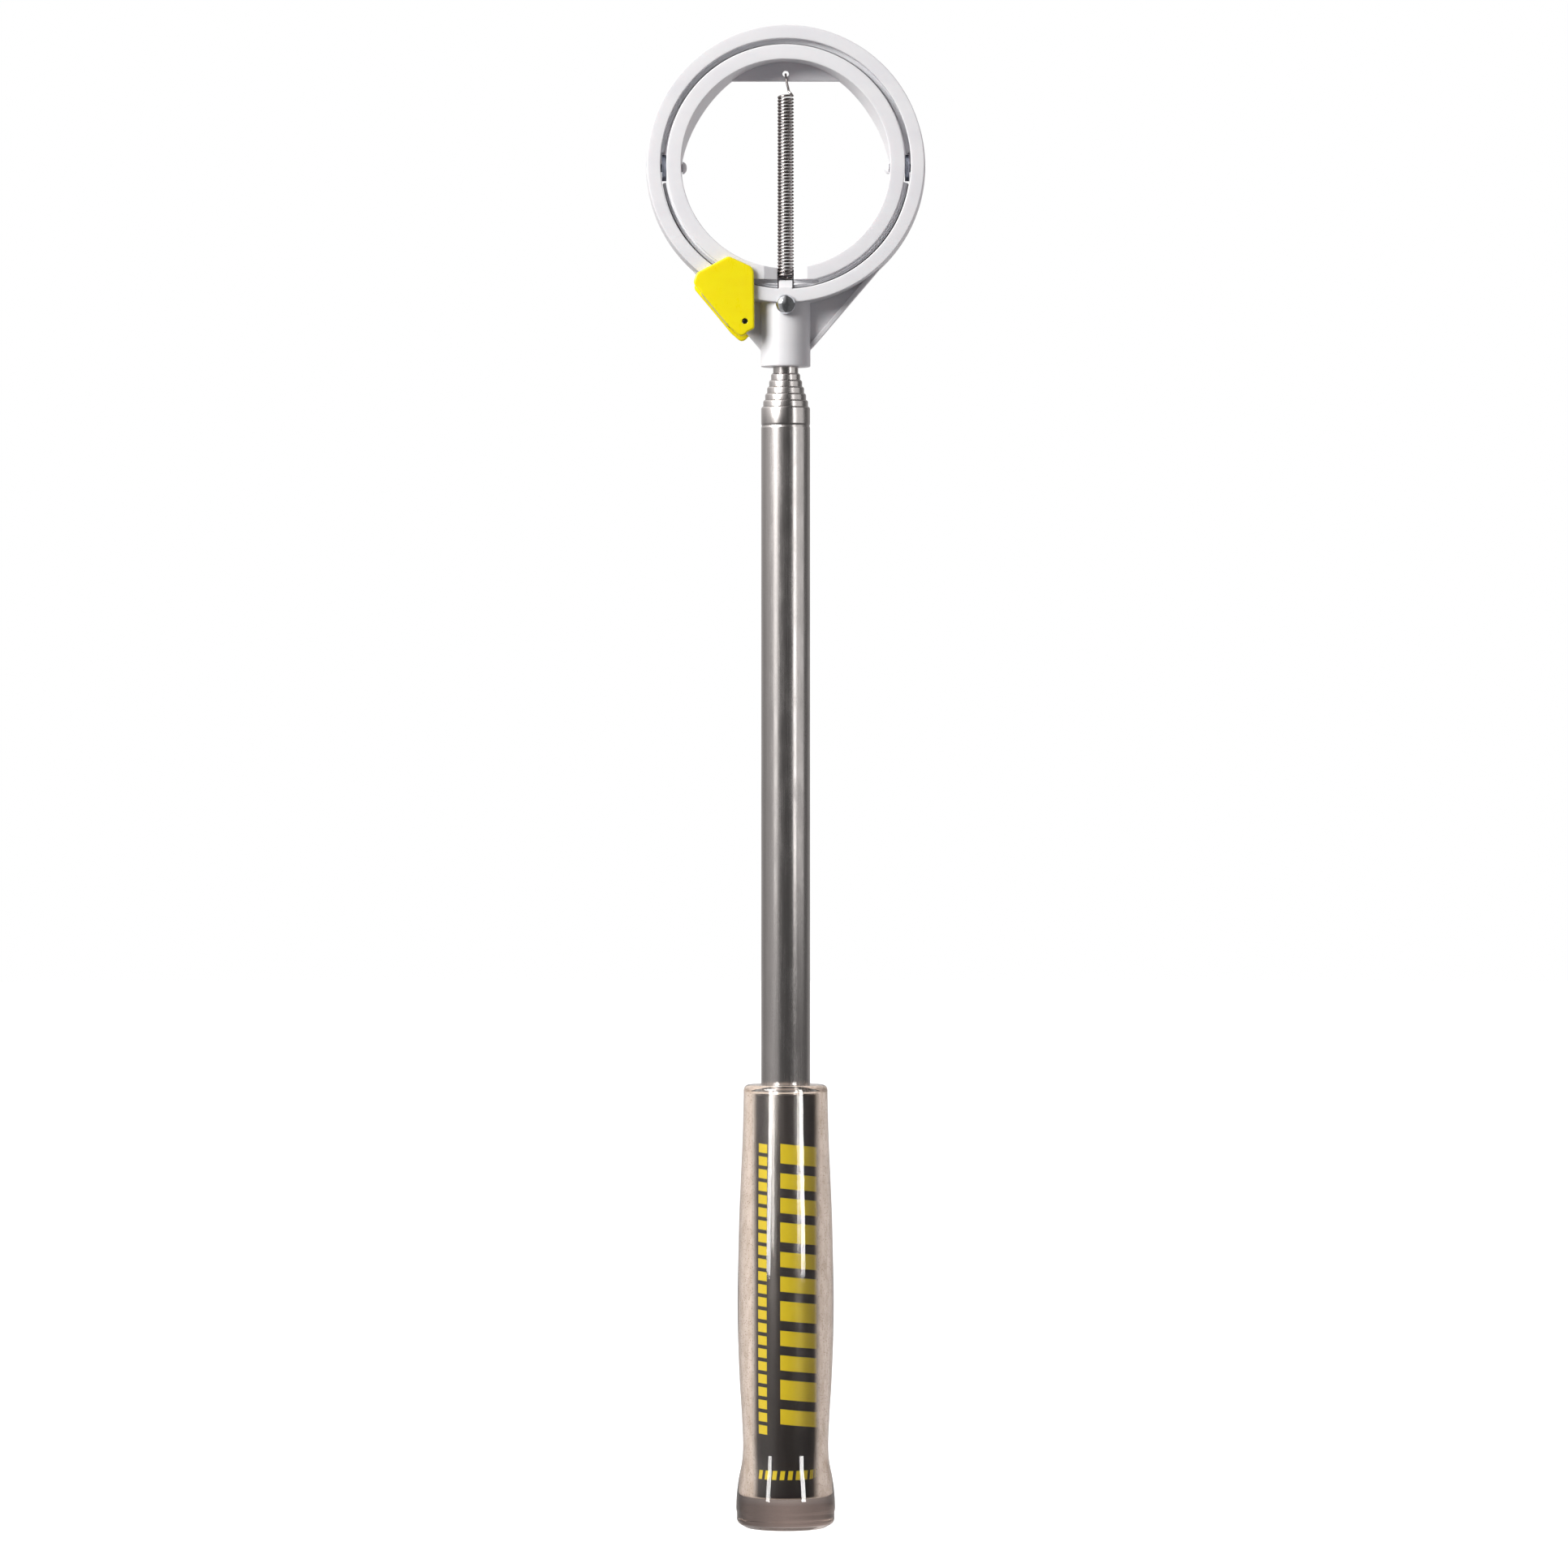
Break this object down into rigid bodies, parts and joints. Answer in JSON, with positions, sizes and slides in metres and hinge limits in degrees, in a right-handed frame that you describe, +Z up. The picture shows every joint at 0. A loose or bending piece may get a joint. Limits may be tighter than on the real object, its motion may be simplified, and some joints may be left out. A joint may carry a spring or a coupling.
{
  "type": "golf ball retriever",
  "caption": "Telescopic golf ball retriever: clear moulded grip, nested steel tubes and a white ring head with a sprung flip ring and a yellow side latch.",
  "frame": {"origin": "centre of the grip's flat butt face", "axes": "+Z up the shaft from the butt to the head, -Y out of the head's front, +X to the right as the front is seen"},
  "size_m": [0.0814, 0.0288, 0.4367],
  "materials": {
    "clear_plastic": "clear moulded plastic with a faint warm tint",
    "label_film": "black printed film",
    "stainless": "polished stainless tube",
    "chromed_steel": "bright chrome",
    "white_plastic": "satin moulded plastic",
    "yellow_plastic": "gloss moulded plastic",
    "nylon": "natural nylon",
    "zinc_steel": "blue zinc plate",
    "spring_steel": "bright drawn wire"
  },
  "bodies": {
    "handle": {"grip": "clear_plastic", "label_sleeve": "label_film", "end_plug": "nylon", "main_tube": "stainless"},
    "stage_2": {"tube_2": "stainless", "bush_2": "nylon"},
    "stage_3": {"tube_3": "stainless", "bush_3": "nylon"},
    "stage_4": {"tube_4": "stainless", "bush_4": "nylon"},
    "stage_5": {"tube_5": "stainless", "bush_5": "nylon"},
    "stage_6": {"tube_6": "stainless", "bush_6": "nylon"},
    "slider_7": {"bush_7": "nylon"},
    "head": {"tube_7": "stainless", "tip_plug": "nylon", "head_frame": "white_plastic", "head_rivet": "chromed_steel", "ring_pin_left": "white_plastic", "ring_pin_right": "white_plastic", "pivot_washer_left": "zinc_steel", "pivot_washer_right": "zinc_steel", "latch_pin": "zinc_steel"},
    "flip_ring": {"inner_ring": "white_plastic"},
    "spring": {"ring_spring": "spring_steel"},
    "latch": {"latch": "yellow_plastic"}
  },
  "joints": [
    {"name": "slide_2", "type": "slide", "parent": "handle", "child": "stage_2", "axis": [0, 0, 1], "range_m": [0, 0.297]},
    {"name": "slide_3", "type": "slide", "parent": "stage_2", "child": "stage_3", "axis": [0, 0, 1], "range_m": [0, 0.2928]},
    {"name": "slide_4", "type": "slide", "parent": "stage_3", "child": "stage_4", "axis": [0, 0, 1], "range_m": [0, 0.2885]},
    {"name": "slide_5", "type": "slide", "parent": "stage_4", "child": "stage_5", "axis": [0, 0, 1], "range_m": [0, 0.2843]},
    {"name": "slide_6", "type": "slide", "parent": "stage_5", "child": "stage_6", "axis": [0, 0, 1], "range_m": [0, 0.28]},
    {"name": "slide_7", "type": "slide", "parent": "stage_6", "child": "slider_7", "axis": [0, 0, 1], "range_m": [0, 0.2758]},
    {"name": "head_swivel", "type": "hinge", "parent": "slider_7", "child": "head", "pos_m": [0, 0, 0.0486], "axis": [0, 0, 1], "continuous": true},
    {"name": "ring_flip", "type": "hinge", "parent": "head", "child": "flip_ring", "pos_m": [0, -0.0018, 0.3951], "axis": [1, 0, 0], "range_deg": [0, 90], "deforming": ["ring_spring"]},
    {"name": "spring_follow", "type": "hinge", "parent": "head", "child": "spring", "pos_m": [0, -0.0046, 0.36225], "axis": [1, 0, 0], "range_deg": [0, 43.3]},
    {"name": "latch_swing", "type": "hinge", "parent": "head", "child": "latch", "pos_m": [-0.0118, 0, 0.3502], "axis": [0, -1, 0], "range_deg": [0, 40]}
  ],
  "couplings": [
    {"joint": "spring_follow", "follows": "ring_flip", "ratio": 0.4807}
  ]
}
